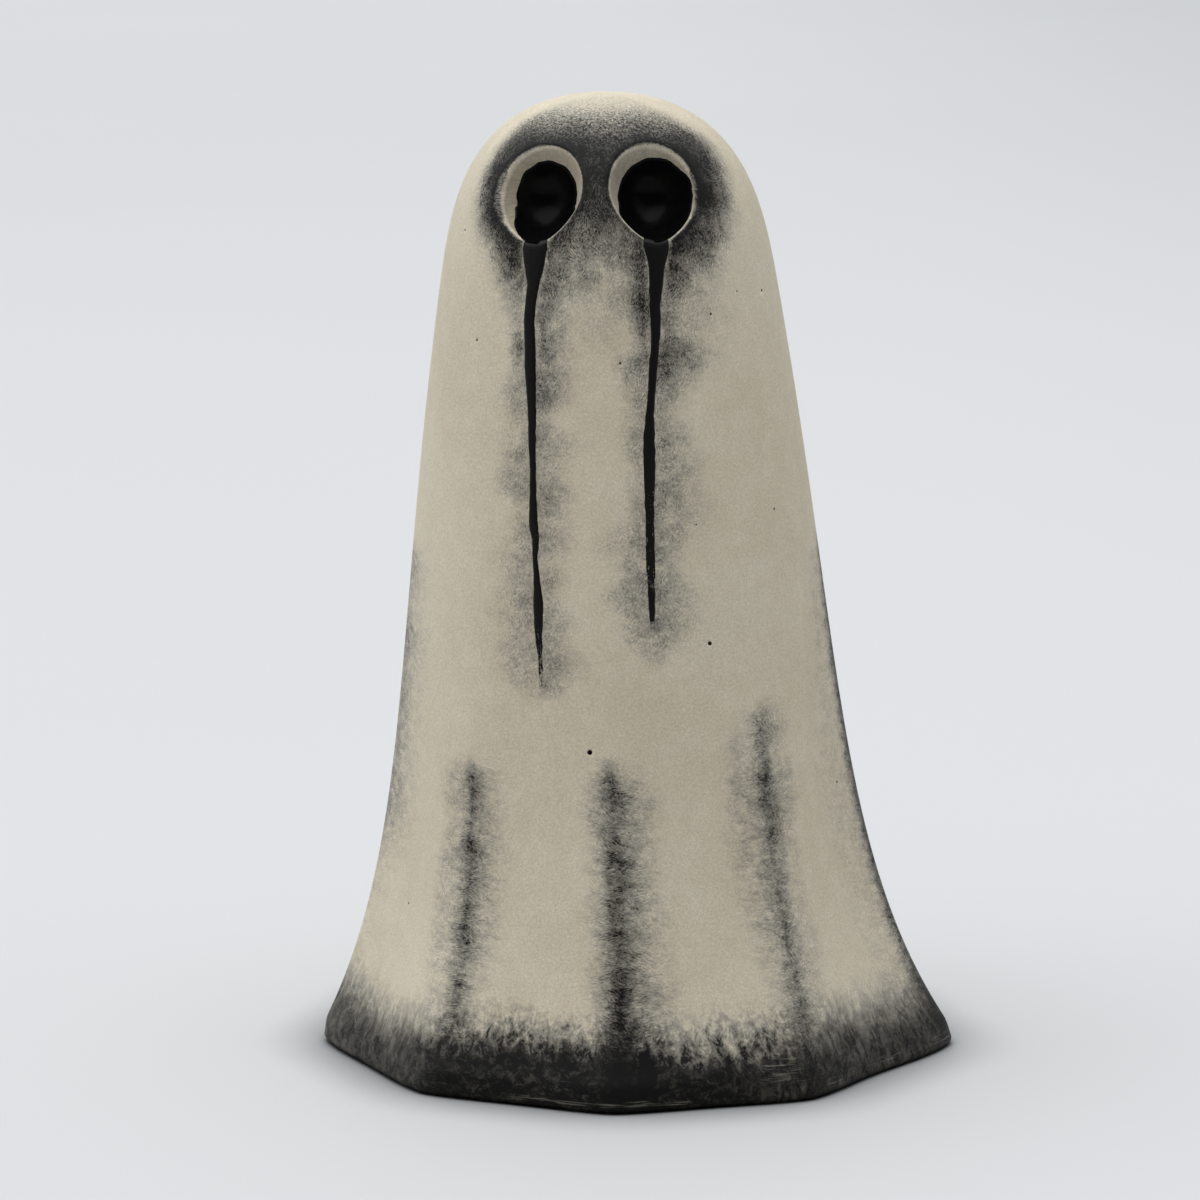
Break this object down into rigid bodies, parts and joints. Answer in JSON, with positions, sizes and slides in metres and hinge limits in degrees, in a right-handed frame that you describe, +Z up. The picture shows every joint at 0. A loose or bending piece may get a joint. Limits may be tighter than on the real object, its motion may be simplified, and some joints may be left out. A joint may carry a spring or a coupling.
{
  "type": "ghost figurine",
  "caption": "Hollow ceramic ghost figurine: a draped sheet with a flared folded hem, deep black eye bowls and black enamel tear runs, standing on an open foot ring.",
  "frame": {"origin": "middle of the footprint, on the surface that the figurine stands on", "axes": "+Z up from the foot to the crown; the face looks along -Y; +X is the viewer's right"},
  "size_m": [0.1008, 0.1002, 0.15],
  "materials": {
    "cream_ceramic": "satin cream with dry-brushed black",
    "gloss_black_enamel": "high gloss",
    "black_tear_enamel": "satin"
  },
  "bodies": {
    "root": {"ghost_shell": "cream_ceramic", "left_eye_lining": "gloss_black_enamel", "right_eye_lining": "gloss_black_enamel", "left_tear_run": "black_tear_enamel", "right_tear_run": "black_tear_enamel"}
  },
  "joints": []
}
